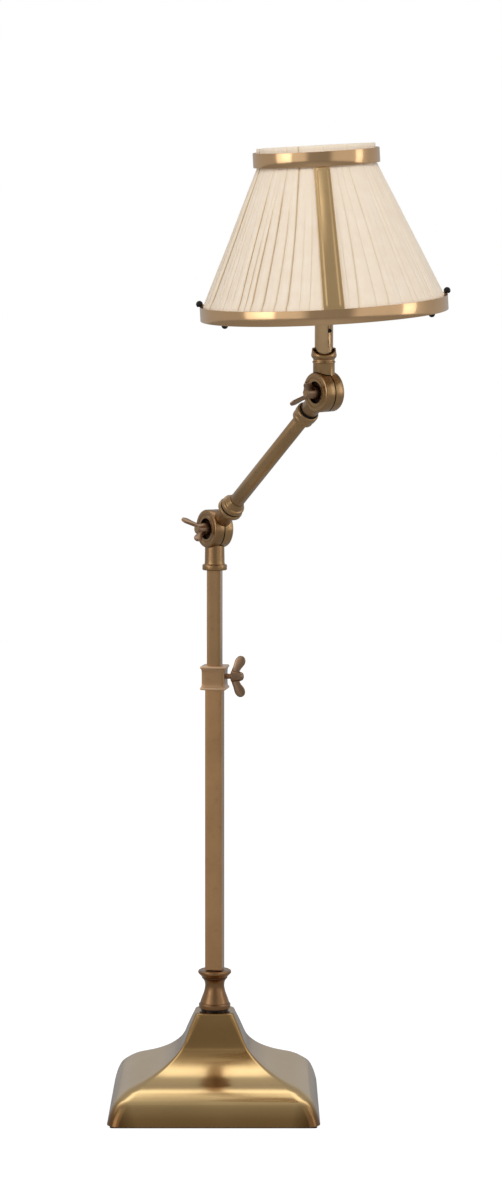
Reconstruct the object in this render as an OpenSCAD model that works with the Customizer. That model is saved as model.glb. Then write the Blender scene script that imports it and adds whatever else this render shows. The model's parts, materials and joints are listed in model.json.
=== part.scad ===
// Pharmacy floor lamp: a square ogee foot, a telescoping square post, a jointed arm on two
// wing-nut knuckles and a banded fabric shade. +Z is up, the origin is the centre of the foot's
// underside, and the lamp is drawn at rest with its arm raised towards -Y.

/* [Foot] */
// Side of the square foot
foot_w = 268; // [262:1:274]
// Height of the ogee foot
foot_h = 120; // [118:1:122]
// Wall of the cast brass foot
foot_wall = 4; // [3.5:0.1:4.5]
// Thickness of the felt pad
felt_t = 2; // [1.5:0.1:2.5]
// Thickness of the steel bottom plate
plate_t = 3; // [2:0.1:3.5]
// Height of the turned collar above the foot
collar_h = 53; // [50:1:56]

/* [Posts] */
// Side of the square lower post
lower_w = 22; // [21.6:0.1:22.4]
// Length of the lower post that shows
lower_len = 362; // [340:1:370]
// Wall of the lower post
lower_wall = 1.6; // [1.4:0.1:1.7]
// Side of the square sliding post
upper_w = 18; // [17.6:0.1:18.2]
// Wall of the sliding post
upper_wall = 1.5; // [1.2:0.1:1.8]
// Length of the sliding post
upper_len = 386; // [380:1:390]
// Turn of the posts about their own axis
post_turn = -9; // [-12:1:12]
// Height of the clamp block
clamp_h = 31; // [30:1:32]
// Side of the clamp block's flanges
clamp_w = 33.6; // [33:0.1:35]

/* [Arm] */
// Height of the lower knuckle above the floor
knuckle_z = 743; // [741:1:745]
// Radius of both knuckle discs
knuckle_r = 24.75; // [24:0.05:25]
// Thickness of both discs of a knuckle together
knuckle_t = 27.5; // [26.5:0.5:28]
// Distance between the two knuckles
arm_len = 307; // [300:1:315]
// Outer diameter of the arm tube
arm_d = 19; // [18.5:0.1:19.5]
// Lean of the arm from the vertical
arm_lean = 54; // [40:1:60]
// Heading of the arm about the post
arm_heading = -56.7; // [-70:1:-45]
// Twist of the head about the arm
head_twist = 3.6; // [0:0.1:8]
// Fold of the head back from the arm
head_fold = 49.9; // [40:0.1:60]

/* [Shade] */
// Outer diameter of the bottom band
shade_bottom_d = 304; // [300:1:308]
// Outer diameter of the top band
shade_top_d = 155; // [152:1:158]
// Height of each band
band_h = 18; // [17:0.5:19]
// Thickness of the bands and straps
band_t = 1.5; // [1.4:0.1:1.6]
// Height of the bottom band's middle above the upper knuckle
shade_z = 104; // [102:1:106]
// Distance between the middles of the two bands
shade_rise = 183.5; // [180:0.5:186]
// Height of the fabric lip above the top band
lip_h = 5; // [4:0.5:6]
// Thickness of the fabric shade
fabric_t = 3; // [2.5:0.5:3.5]
// Lean of the shade on its tube
shade_lean = 3; // [2:0.1:3.2]
// Outer diameter of the shade tube
shade_tube_d = 22.7; // [22.4:0.1:23]

/* [Hidden] */
$fn = 96;
eps = 0.01;
run = 0.04; // running clearance of a turned shaft, on the radius

brass = "#9a7647";
brass_light = "#c8a873";
cream = "#efe4d0";
iron = "#3b3a38";
steel = "#8d8d8b";
black = "#161412";

// foot and post heights
rim_z = felt_t;
collar_z = foot_h + 1;
post_z = collar_z + collar_h - 1;
clamp_z = post_z + lower_len;
socket_deep = 10;
screw_z = clamp_z + 17;
upper_top = knuckle_z - 54;
upper_bottom = upper_top - upper_len;
rod_d = 10;
gland_d = 10;
cord_bore = 6.5;

// the square ogee foot, as half-width against height, with the wall stepped inwards
foot_curve = [
    [134, 2], [130.3, 14], [122.5, 30], [115, 38.4], [105.5, 42.3], [80.7, 52.7],
    [61.4, 61.5], [52.2, 68.6], [43.6, 75.4], [39.7, 81.4], [37.7, 87], [33.8, 98],
    [29.2, 109], [24.6, 115.5], [20, 120]
];
foot_scale = foot_w / 268;
foot_rise = (foot_h - rim_z) / 118;
cavity_curve = [for (p = foot_curve) if (p[1] < 112) [p[0] - foot_wall, p[1] - foot_wall * 0.75]];

// knuckle parts, along the knuckle's own axis
disc_gap = 1.5;
bolt_d = 8;
bolt_head_d = 15;
bolt_head_t = 5;
nut_recess_d = 27;
nut_recess_t = 6;
disc_clear = knuckle_r + 0.8;

// arm parts, along the arm from the lower knuckle
arm_socket_r = 11.5;
arm_ring_z = 43.5;
arm_ring_t = 5.4;
arm_ring_r = 16.5;
arm_tube_z = 40;
sleeve_z = arm_len - 59;
sleeve_t = 18;
sleeve_r = 14.5;
arm_wall = 1.5;
spigot_r = 6;

// head parts, along the shade tube from the upper knuckle
neck_r = 13.4;
ring_z = 40.5;
ring_top = 54;
ring_r = 15.8;
mouth_r = 14;
mouth_z = 45.5;
tube_r = shade_tube_d / 2;
tube_spigot_r = 9;
tube_top = 113;
set_z = 76;
holder_z = tube_top + 5.5;
knob_z = holder_z + 18;
knob_heading = 60;
bulb_r = 30;

// shade, along its own axis from the middle of the bottom band
bottom_r = shade_bottom_d / 2;
top_r = shade_top_d / 2;
lean_heading = -123;
strap_heading = -33;
band_top = band_h / 2;
band_foot = shade_rise - band_h / 2;
strap_low = bottom_r - band_t;
strap_high = top_r - band_t;
slope = (strap_low - strap_high) / (band_foot - band_top);
strap_tilt = atan(slope);
carrier_z = -4;
carrier_t = 3;
carrier_angles = [60, 180, 300];
seat_z = 95.8;
hem_z = 0;
lip_z = shade_rise + band_h / 2 + lip_h;
nut_ball_d = 8;
clip_ball_d = 8.5;
strap_w1 = 9.6; // half the width at the top
strap_w2 = 13; // and at the bottom

// radius of the straps' outer face at a height on the shade's axis
function strap_r(z) = strap_low - slope * (z - band_top);

module rounded_square(side, r) {
    square([side - 2 * r, side], center = true);
    square([side, side - 2 * r], center = true);
    for (x = [-1, 1], y = [-1, 1])
        translate([x * (side / 2 - r), y * (side / 2 - r)]) circle(r);
}

module ring(r_out, r_in, h) {
    difference() {
        cylinder(r = r_out, h = h);
        translate([0, 0, -eps]) cylinder(r = r_in, h = h + 2 * eps);
    }
}

// a square solid whose four sides all follow one curve of [half-width, height]
module square_turned(curve) {
    half = [for (p = curve) [p[0], p[1]]];
    other = [for (i = [len(curve) - 1:-1:0]) [-curve[i][0], curve[i][1]]];
    wide = 2 * curve[0][0] + 40;
    intersection() {
        rotate([90, 0, 0]) translate([0, 0, -wide / 2])
            linear_extrude(wide) polygon(concat(half, other));
        rotate([90, 0, 90]) translate([0, 0, -wide / 2])
            linear_extrude(wide) polygon(concat(half, other));
    }
}

module on_post() {
    rotate([0, 0, post_turn]) children();
}

module on_pan() {
    translate([0, 0, knuckle_z]) rotate([0, 0, arm_heading]) children();
}

module on_arm() {
    on_pan() rotate([0, arm_lean, 0]) children();
}

module on_arm_end() {
    on_arm() rotate([0, 0, head_twist]) children();
}

module on_head() {
    on_arm_end() translate([0, 0, arm_len]) rotate([0, -head_fold, 0]) children();
}

module on_shade() {
    on_head() translate([0, 0, shade_z])
        rotate([0, 0, lean_heading]) rotate([0, shade_lean, 0]) rotate([0, 0, -lean_heading])
            children();
}

// turns a child drawn along Z so that it lies along the knuckle axis, Y
module along_y(y) {
    translate([0, y, 0]) rotate([-90, 0, 0]) children();
}

// ---- foot ----

module felt_pad() {
    color(black) linear_extrude(felt_t) difference() {
        rounded_square(foot_w - 8, 3);
        circle(d = 60);
        for (x = [-1, 1], y = [-1, 1])
            translate([x * 95, y * 95]) circle(d = 11);
    }
}

module base_plate() {
    color(steel) translate([0, 0, rim_z]) difference() {
        linear_extrude(plate_t) rounded_square(foot_w - 14, 3);
        translate([0, 0, -eps]) cylinder(d = 40, h = plate_t + 1);
        for (x = [-1, 1], y = [-1, 1])
            translate([x * 95, y * 95, -eps]) cylinder(d = 5, h = plate_t + 1);
    }
}

module plate_screws() {
    color(steel) for (x = [-1, 1], y = [-1, 1])
        translate([x * 95, y * 95, rim_z]) {
            cylinder(d = 5, h = plate_t + 9);
            translate([0, 0, -1.6]) cylinder(d = 9, h = 1.6);
        }
}

module base_weight() {
    weight_z = rim_z + plate_t;
    color(iron) difference() {
        union() {
            translate([0, 0, weight_z]) linear_extrude(8) rounded_square(foot_w - 58, 8);
            translate([0, 0, weight_z + 8 - eps]) linear_extrude(14) rounded_square(150, 8);
        }
        translate([0, 0, weight_z - 1]) cylinder(d = 32, h = 13);
        cylinder(d = rod_d + 0.4, h = 60);
        for (x = [-1, 1], y = [-1, 1])
            translate([x * 95, y * 95, weight_z - eps]) cylinder(d = 5, h = 12);
    }
}

module base_shell() {
    color(brass) difference() {
        square_turned([for (p = foot_curve)
            [p[0] * foot_scale, rim_z + (p[1] - 2) * foot_rise]]);
        square_turned(concat([[foot_w / 2 - foot_wall - 1, -1]],
            [for (p = cavity_curve) if (p[1] > 0) [p[0] * foot_scale, p[1] * foot_rise]]));
        cylinder(d = rod_d, h = foot_h + 20);
        on_gland() {
            translate([0, 0, -20]) cylinder(d = gland_d, h = 40);
            cylinder(d = gland_d + 5, h = 40);
        }
    }
}

module base_collar() {
    // radius against height of the turned neck
    curve = [
        [18.8, 0], [19, 0.8], [20.2, 1.6], [20.4, 8.6], [19.4, 9.8], [18.4, 10.4], [16.4, 17],
        [14, 23], [12.6, 28], [12.4, 33], [13, 37], [15.2, 40.4], [16.2, 42], [16.6, 43.2],
        [19, 46], [21.2, 48.6], [21.5, 50], [20.8, 51.6], [19, collar_h - 1]
    ];
    color(brass) translate([0, 0, collar_z - 1]) difference() {
        rotate_extrude() polygon(concat([[rod_d / 2, 0]], curve, [[rod_d / 2, collar_h - 1]]));
        translate([0, 0, collar_h - 3]) cylinder(r = 8, h = 5);
    }
}

module base_rod() {
    color(steel) translate([0, 0, 8]) difference() {
        cylinder(d = rod_d, h = post_z + 21 - 8);
        translate([0, 0, -eps]) cylinder(d = 6, h = 200);
    }
}

module base_washer() {
    color(steel) translate([0, 0, rim_z + plate_t + 10]) ring(13, rod_d / 2, 2);
}

module base_nut() {
    color(steel) translate([0, 0, rim_z + plate_t + 4]) difference() {
        cylinder(d = 19.6, h = 6, $fn = 6);
        translate([0, 0, -eps]) cylinder(d = rod_d, h = 7);
    }
}

module on_gland() {
    translate([0, foot_w / 2 - 3.8, 11]) rotate([-90, 0, 0]) children();
}

module cord_gland() {
    color(black) on_gland() difference() {
        union() {
            translate([0, 0, -11]) cylinder(d = gland_d, h = 12);
            cylinder(d = gland_d + 4, h = 2.5);
        }
        translate([0, 0, -15]) cylinder(d = cord_bore, h = 25);
    }
}

// ---- posts ----

module square_tube(side, wall, r, h) {
    linear_extrude(h) difference() {
        rounded_square(side, r);
        square(side - 2 * wall, center = true);
    }
}

module lower_post() {
    color(brass) on_post() translate([0, 0, post_z])
        square_tube(lower_w, lower_wall, 1.2, lower_len + socket_deep);
}

module post_plug() {
    color(steel) on_post() translate([0, 0, post_z]) difference() {
        linear_extrude(21) square(lower_w - 2 * lower_wall, center = true);
        translate([0, 0, -eps]) cylinder(d = rod_d, h = 30);
    }
}

module clamp_block() {
    f = clamp_w / 2;
    curve = [[f - 1, 0], [f, 1], [f, 3], [f - 0.7, 4], [f - 1.3, 5.6], [f - 1.6, 8],
        [f - 1.6, clamp_h - 8], [f - 1.3, clamp_h - 5.6], [f - 0.7, clamp_h - 4],
        [f, clamp_h - 3], [f, clamp_h - 1], [f - 1, clamp_h]];
    color(brass) on_post() translate([0, 0, clamp_z]) difference() {
        square_turned(curve);
        translate([0, 0, -1]) linear_extrude(socket_deep + 1) rounded_square(lower_w, 1.2);
        linear_extrude(clamp_h + 1) rounded_square(upper_w + 0.7, 1.3);
        translate([5, 0, screw_z - clamp_z]) rotate([0, 90, 0]) cylinder(d = 7, h = 30);
    }
}

// an ear of a wing nut or wing screw: it lies in the XZ plane, with Z along the screw
module wing_ear(r_in, lobe_x, lobe_z, lobe_r, t) {
    reach = sqrt(pow(lobe_x - r_in, 2) + pow(lobe_z - 3, 2));
    translate([0, t / 2, 0]) rotate([90, 0, 0]) linear_extrude(t) {
        translate([lobe_x, lobe_z]) circle(lobe_r);
        polygon([
            [0, 0.5], [r_in, 0.5], [lobe_x + lobe_r * 0.78, lobe_z - lobe_r * 0.62],
            [lobe_x - lobe_r * 0.5, lobe_z + lobe_r * 0.86], [r_in - 2, reach * 0.62], [0, reach * 0.5]
        ]);
    }
}

module clamp_wing_screw() {
    color(brass) on_post() translate([0, 0, screw_z]) rotate([0, 90, 0]) difference() {
        union() {
            translate([0, 0, upper_w / 2 + 0.2]) cylinder(r = 3.5 - run, h = 14);
            translate([0, 0, 21.5]) rotate_extrude() polygon([
                [0, 0], [6.8, 0], [7.4, 0.8], [6.6, 8], [6.2, 12], [5.2, 14.6], [3.4, 16], [0, 16.4]
            ]);
            for (a = [0, 180]) rotate([0, 0, a]) translate([0, 0, 22]) wing_ear(5.5, 19.5, 11.5, 6.8, 3.6);
        }
        translate([0, 0, 37]) cylinder(r = 1.6, h = 5);
    }
}

module upper_post() {
    color(brass) on_post() translate([0, 0, upper_bottom])
        square_tube(upper_w, upper_wall, 1, upper_len);
}

module mast_guide() {
    color(black) on_post() translate([0, 0, upper_bottom - 3]) {
        linear_extrude(3) difference() {
            square(lower_w - 2 * lower_wall - 0.6, center = true);
            circle(d = 9);
        }
        linear_extrude(20) difference() {
            square(upper_w - 2 * upper_wall, center = true);
            circle(d = 9);
        }
    }
}

module mast_cap() {
    color(brass) difference() {
        union() {
            on_post() translate([0, 0, upper_top - 18]) linear_extrude(18)
                square(upper_w - 2 * upper_wall, center = true);
            translate([0, 0, upper_top - 1]) cylinder(r = 6, h = 18);
        }
        translate([0, 0, upper_top - 20]) cylinder(d = 6, h = 50);
    }
}

// ---- knuckles ----

// one disc of a knuckle, on side 1 (+Y) or -1 (-Y), with turned rings on its outer face
module half_disc(side) {
    t = (knuckle_t - disc_gap) / 2;
    mirror([0, side < 0 ? 1 : 0, 0]) along_y(disc_gap / 2) rotate_extrude() polygon([
        [0, 0], [knuckle_r, 0], [knuckle_r, t - 2], [knuckle_r - 0.7, t - 0.6],
        [knuckle_r - 2.2, t], [knuckle_r - 5.5, t], [knuckle_r - 6, t - 0.8],
        [knuckle_r - 7.5, t - 0.8], [knuckle_r - 8, t], [0, t]
    ]);
}

// the room that the other disc of the knuckle turns in, on side 1 or -1
module disc_room(side) {
    mirror([0, side < 0 ? 1 : 0, 0]) along_y(-disc_gap / 2) cylinder(r = disc_clear, h = 40);
}

module knuckle_bores(nut_side) {
    along_y(-40) cylinder(d = bolt_d, h = 80);
    mirror([0, nut_side < 0 ? 1 : 0, 0]) along_y(knuckle_t / 2 - nut_recess_t)
        cylinder(d = nut_recess_d, h = 20);
}

module head_bores(head_side) {
    along_y(-40) cylinder(r = bolt_d / 2 + run, h = 80);
    mirror([0, head_side < 0 ? 1 : 0, 0]) along_y(knuckle_t / 2 - bolt_head_t)
        cylinder(d = bolt_head_d + 0.6, h = 20);
}

module knuckle_bolt() {
    along_y(-28) cylinder(d = bolt_d, h = 28 + knuckle_t / 2 - bolt_head_t + eps);
    along_y(knuckle_t / 2 - bolt_head_t) difference() {
        cylinder(d = bolt_head_d, h = bolt_head_t - 1);
        translate([-6, -0.8, bolt_head_t - 2]) cube([12, 1.6, 3]);
    }
}

module friction_disc() {
    along_y(run - disc_gap / 2) ring(knuckle_r - 2.5, bolt_d / 2 + run, disc_gap - 2 * run);
}

module wing_nut(turn) {
    seat = knuckle_t / 2 - nut_recess_t + 0.2;
    translate([0, -seat, 0]) rotate([90, 0, 0]) rotate([0, 0, turn]) difference() {
        union() {
            cylinder(r = 9.4, h = 2);
            cylinder(r1 = 8.4, r2 = 6.2, h = 20);
            for (a = [0, 180]) rotate([0, 0, a]) translate([0, 0, 8.5]) wing_ear(6, 18, 18.5, 5.4, 3.4);
        }
        translate([0, 0, -1]) cylinder(r = bolt_d / 2 + run, h = 30);
    }
}

module lower_knuckle() {
    color(brass) difference() {
        union() {
            on_pan() half_disc(-1);
            translate([0, 0, upper_top + 0.3]) rotate_extrude() polygon([
                [0, 0], [15, 0], [16, 1], [16, 6.2], [15, 7.4], [13.3, 7.8], [12.9, 10],
                [12.6, 28], [12, 44], [0, 44]
            ]);
        }
        on_pan() disc_room(1);
        on_pan() knuckle_bores(-1);
        translate([0, 0, upper_top - 1]) cylinder(r = 6 + run, h = 19);
    }
}

module lower_bolt() {
    color(brass) on_pan() knuckle_bolt();
}

module lower_friction_disc() {
    color(black) on_pan() friction_disc();
}

module lower_wing_nut() {
    color(brass) on_pan() wing_nut(148);
}

// ---- arm ----

module arm_lower_socket() {
    color(brass) on_arm() difference() {
        union() {
            half_disc(1);
            cylinder(r = arm_socket_r, h = arm_ring_z);
            translate([0, 0, arm_ring_z]) rotate_extrude() polygon([
                [0, -1], [14.5, -1], [arm_ring_r, 1], [arm_ring_r, arm_ring_t - 1.5],
                [arm_ring_r - 1.5, arm_ring_t], [0, arm_ring_t]
            ]);
        }
        disc_room(-1);
        head_bores(1);
        translate([0, 0, arm_tube_z]) cylinder(d = arm_d, h = 40);
    }
}

module arm_lower_washer() {
    color(black) on_arm() translate([0, 0, arm_ring_z + arm_ring_t]) ring(14, arm_d / 2, 1.6);
}

module arm_ferrule() {
    color(brass) on_arm() translate([0, 0, arm_ring_z + arm_ring_t + 1.6])
        rotate_extrude() polygon([
            [arm_d / 2, 0], [14.2, 0], [15, 0.8], [15, 5.6], [14, 6.8], [12.4, 7.4],
            [arm_d / 2 + 0.6, 15.5], [arm_d / 2, 15.5]
        ]);
}

module arm_tube() {
    color(brass) on_arm() translate([0, 0, arm_tube_z])
        ring(arm_d / 2, arm_d / 2 - arm_wall, sleeve_z - arm_tube_z);
}

module arm_upper_sleeve() {
    color(brass) on_arm() difference() {
        union() {
            translate([0, 0, sleeve_z - 20]) cylinder(r = arm_d / 2 - arm_wall, h = 21);
            translate([0, 0, sleeve_z]) rotate_extrude() polygon([
                [0, 0], [sleeve_r - 2.6, 0], [sleeve_r - 0.8, 1.8], [sleeve_r - 0.8, 7.4],
                [sleeve_r - 1.6, 8], [sleeve_r - 1.6, 8.8], [sleeve_r, 9.6],
                [sleeve_r, sleeve_t - 1.5], [sleeve_r - 1.5, sleeve_t], [0, sleeve_t]
            ]);
        }
        translate([0, 0, sleeve_z - 30]) cylinder(r = spigot_r + run, h = 60);
    }
}

module arm_upper_washer() {
    color(black) on_arm_end() translate([0, 0, sleeve_z + sleeve_t]) ring(12.6, spigot_r, 1.8);
}

module arm_upper_socket() {
    color(brass) on_arm_end() difference() {
        union() {
            translate([0, 0, arm_len]) half_disc(-1);
            translate([0, 0, sleeve_z + sleeve_t + 1.8])
                cylinder(r = arm_socket_r, h = arm_len - sleeve_z - sleeve_t - 1.8);
            translate([0, 0, sleeve_z - 12]) cylinder(r = spigot_r, h = sleeve_t + 16);
        }
        translate([0, 0, arm_len]) disc_room(1);
        translate([0, 0, arm_len]) knuckle_bores(-1);
        translate([0, 0, sleeve_z - 20]) cylinder(r = 3, h = 44);
    }
}

module on_upper_knuckle() {
    on_arm_end() translate([0, 0, arm_len]) children();
}

module upper_bolt() {
    color(brass) on_upper_knuckle() knuckle_bolt();
}

module upper_friction_disc() {
    color(black) on_upper_knuckle() friction_disc();
}

module upper_wing_nut() {
    color(brass) on_upper_knuckle() wing_nut(88);
}

// ---- head ----

// the slanted mouth that leaves the front of the neck's ring lower than its back
module mouth_cut(drop) {
    rotate([0, 0, strap_heading]) translate([0, -30, ring_top - drop])
        rotate([0, 28, 0]) cube([60, 60, 40]);
}

module head_neck() {
    color(brass) on_head() difference() {
        union() {
            half_disc(1);
            rotate_extrude() polygon([
                [0, 0], [neck_r, 0], [neck_r, 35.6], [neck_r + 0.8, 36.4], [neck_r + 0.8, 37.6],
                [neck_r - 0.2, 38.4], [neck_r - 0.2, ring_z], [ring_r - 0.6, ring_z + 2.4],
                [ring_r, ring_z + 4.6], [ring_r - 0.5, ring_z + 7.5], [ring_r - 1.4, ring_top],
                [0, ring_top]
            ]);
        }
        disc_room(-1);
        head_bores(1);
        translate([0, 0, mouth_z]) cylinder(r = mouth_r, h = 20);
        translate([0, 0, 29]) cylinder(r = tube_spigot_r + run, h = 40);
        mouth_cut(0);
    }
}

module neck_seal() {
    color(black) on_head() difference() {
        translate([0, 0, mouth_z]) ring(mouth_r, tube_r + 0.3, ring_top - mouth_z - 1.5);
        mouth_cut(1.5);
    }
}

module shade_tube() {
    color(brass) on_head() difference() {
        union() {
            translate([0, 0, 30]) cylinder(r = tube_spigot_r, h = 20);
            translate([0, 0, mouth_z + 0.2]) cylinder(r = tube_r, h = tube_top - mouth_z - 0.2);
            translate([0, 0, seat_z]) cylinder(r = 14.5, h = 3);
        }
        translate([0, 0, 20]) cylinder(r = 6.5, h = 120);
        rotate([0, 0, strap_heading + 34]) translate([0, 0, set_z]) rotate([0, 90, 0])
            cylinder(d = 4, h = 40);
    }
}

module set_screw() {
    color(black) on_head() rotate([0, 0, strap_heading + 34]) translate([0, 0, set_z])
        rotate([0, 90, 0]) difference() {
            union() {
                translate([0, 0, 6.8]) cylinder(d = 4, h = tube_r - 6.7);
                translate([0, 0, tube_r]) cylinder(d1 = 5.2, d2 = 4, h = 1.7);
            }
            translate([0, 0, tube_r - 0.4]) cylinder(d = 2.6, h = 4, $fn = 6);
        }
}

module holder_cup() {
    color(brass) on_head() translate([0, 0, tube_top]) difference() {
        rotate_extrude() polygon([[0, 0], [13, 0], [18.5, 5], [18.5, 16], [0, 16]]);
        translate([0, 0, holder_z - tube_top]) cylinder(r = 16.5, h = 20);
        translate([0, 0, -1]) cylinder(r = 5, h = 10);
    }
}

module lamp_holder() {
    color(black) on_head() translate([0, 0, holder_z]) difference() {
        union() {
            cylinder(r = 16.4, h = 28);
            translate([0, 0, 28 - eps]) cylinder(r = 19, h = 22);
        }
        translate([0, 0, 27]) cylinder(r = 14, h = 40);
        rotate([0, 0, knob_heading]) translate([0, 0, knob_z - holder_z]) rotate([0, 90, 0])
            cylinder(r = 3.5, h = 40);
    }
}

module holder_ring() {
    color(black) on_head() translate([0, 0, holder_z + 36]) difference() {
        cylinder(r = 22, h = 6);
        translate([0, 0, -1]) cylinder(r = 19, h = 10);
    }
}

module lamp_contact() {
    color(brass_light) on_head() translate([0, 0, holder_z + 27]) cylinder(r = 5, h = 3);
}

module switch_knob() {
    color(black) on_head() rotate([0, 0, knob_heading]) translate([0, 0, knob_z])
        rotate([0, 90, 0]) union() {
            translate([0, 0, 5]) cylinder(r = 3.5 - run, h = 16);
            translate([0, 0, 17.5]) cylinder(r1 = 6.5, r2 = 5.5, h = 10);
            translate([-7.5, -1.5, 19]) cube([15, 3, 11]);
        }
}

module bulb_cap() {
    color(steel) on_head() translate([0, 0, holder_z + 30]) difference() {
        cylinder(r = 13, h = 25);
        translate([0, 0, 3]) cylinder(r = 12, h = 30);
    }
}

module bulb_glass() {
    color("#f4f1e8") on_head() translate([0, 0, holder_z + 33]) rotate_extrude() polygon(concat(
        [[10.4, 0], [11.5, 0], [11.9, 22], [14, 30], [20, 40], [26, 50]],
        [for (a = [-20:10:90]) [bulb_r * cos(a), 66 + bulb_r * sin(a)]],
        [for (a = [90:-10:-20]) [(bulb_r - 1.2) * cos(a), 66 + (bulb_r - 1.2) * sin(a)]],
        [[24.9, 50.6], [18.9, 40.6], [12.8, 30.4], [10.7, 22]]
    ));
}

// ---- shade ----

module shade_carrier() {
    color(brass) on_shade() difference() {
        union() {
            translate([0, 0, carrier_z]) cylinder(r = 24, h = carrier_t);
            translate([0, 0, carrier_z]) cylinder(r = 17, h = 11);
            for (a = carrier_angles) rotate([0, 0, strap_heading + a])
                translate([15, -6, carrier_z]) cube([strap_low - 16.2, 12, carrier_t]);
        }
        translate([0, 0, carrier_z - 1]) cylinder(r = tube_r + 0.6, h = 20);
        for (a = carrier_angles) rotate([0, 0, strap_heading + a])
            translate([bottom_r - 8, 0, carrier_z - 1]) cylinder(d = 4, h = 10);
    }
}

// points of an arc of radius r about [0, z]
function arc(r, z, a0, a1, step) = [for (a = [a0:step:a1]) [r * cos(a), z + r * sin(a)]];

module carrier_nuts() {
    ball_z = -band_top - 0.6;
    ball_r = nut_ball_d / 2;
    washer_z = carrier_z + carrier_t;
    color(black) on_shade() for (a = carrier_angles) rotate([0, 0, strap_heading + a])
        translate([bottom_r - 8, 0, 0]) rotate_extrude() polygon(concat(
            [[0, ball_z - ball_r]], arc(ball_r, ball_z, -80, 60, 10),
            [[2, carrier_z - 2], [2, washer_z], [4, washer_z], [4, washer_z + 0.7], [0, washer_z + 0.7]]
        ));
}

module band(r, h) {
    ring(r, r - band_t, h);
}

module bottom_band() {
    color(brass_light) on_shade() difference() {
        union() {
            translate([0, 0, -band_h / 2]) band(bottom_r, band_h);
            for (a = carrier_angles) rotate([0, 0, strap_heading + a])
                translate([bottom_r - 14, -6, carrier_z - 2]) cube([14 - band_t / 2, 12, 2]);
        }
        for (a = carrier_angles) rotate([0, 0, strap_heading + a])
            translate([bottom_r - 8, 0, carrier_z - 3]) cylinder(d = 4, h = 10);
    }
}

module top_band() {
    color(brass_light) on_shade() translate([0, 0, shade_rise - band_h / 2]) band(top_r, band_h);
}

// a strap: a tapered strip with a raised middle, its two ends bent up inside the bands
module strap(a) {
    long = (band_foot - band_top) / cos(strap_tilt);
    color(brass_light) on_shade() rotate([0, 0, strap_heading + a]) {
        difference() {
            translate([strap_low, 0, band_top]) rotate([0, -strap_tilt, 0]) {
                translate([-band_t, 0, 0]) rotate([90, 0, 90]) linear_extrude(band_t)
                    polygon([[-strap_w2, -1], [strap_w2, -1], [strap_w1, long + 1], [-strap_w1, long + 1]]);
                translate([-eps, 0, 0]) rotate([90, 0, 90]) linear_extrude(1)
                    polygon([[-8.4, 2], [8.4, 2], [5.8, long - 2], [-5.8, long - 2]]);
            }
            translate([0, 0, -band_h]) ring(bottom_r + 20, strap_low, band_h + band_top);
            translate([0, 0, band_foot]) ring(bottom_r, strap_high, band_h);
        }
        strap_end(strap_low, strap_w2, 2 - band_top, 2 * band_top - 2);
        strap_end(strap_high, strap_w1, band_foot, band_h - 2);
    }
}

module strap_end(r, half, z, h) {
    intersection() {
        translate([0, 0, z]) ring(r, r - band_t, h);
        translate([r / 2, -half, z - 1]) cube([r, 2 * half, h + 2]);
    }
}

module strap_front() { strap(0); }
module strap_left() { strap(-120); }
module strap_right() { strap(120); }

module shade_clips() {
    ball_r = clip_ball_d / 2;
    color(black) on_shade() for (a = [-90, 90]) rotate([0, 0, strap_heading + a])
        translate([bottom_r, 0, band_top]) rotate_extrude() polygon(concat(
            [[0, 0]], arc(ball_r, ball_r * sin(50), -50, 80, 10), [[0, ball_r * (1 + sin(50))]]
        ));
}

// the fabric runs inside the straps, with an upright hem in each band
module fabric_shade() {
    low_r = strap_r(band_top) - band_t / cos(strap_tilt) - 0.4;
    high_r = strap_r(band_foot) - band_t / cos(strap_tilt) - 0.4;
    color(cream) on_shade() rotate_extrude() polygon([
        [low_r, hem_z], [low_r, band_top], [high_r, band_foot], [high_r, lip_z],
        [high_r - fabric_t, lip_z], [high_r - fabric_t, band_foot - 1],
        [low_r - fabric_t, band_top - 1], [low_r - fabric_t, hem_z]
    ]);
}

module shade_wires() {
    inset = 2 * band_t + fabric_t + 2;
    color(steel) on_shade() {
        translate([0, 0, hem_z + 3]) rotate_extrude() translate([bottom_r - inset - 0.4, 0]) circle(d = 2.4);
        translate([0, 0, lip_z - 4]) rotate_extrude() translate([top_r - inset - 0.4, 0]) circle(d = 2.4);
    }
}

felt_pad();
base_plate();
plate_screws();
base_weight();
base_shell();
base_collar();
base_rod();
base_washer();
base_nut();
cord_gland();
lower_post();
post_plug();
clamp_block();
clamp_wing_screw();
upper_post();
mast_guide();
mast_cap();
lower_knuckle();
lower_bolt();
lower_friction_disc();
lower_wing_nut();
arm_lower_socket();
arm_lower_washer();
arm_ferrule();
arm_tube();
arm_upper_sleeve();
arm_upper_socket();
arm_upper_washer();
upper_bolt();
upper_friction_disc();
upper_wing_nut();
head_neck();
neck_seal();
shade_tube();
set_screw();
holder_cup();
lamp_holder();
holder_ring();
lamp_contact();
switch_knob();
bulb_cap();
bulb_glass();
shade_carrier();
carrier_nuts();
bottom_band();
top_band();
strap_front();
strap_left();
strap_right();
shade_clips();
fabric_shade();
shade_wires();
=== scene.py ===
import json
import math
import random

import bmesh
import bpy
import numpy as np
from mathutils import Matrix, Vector, noise


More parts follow.
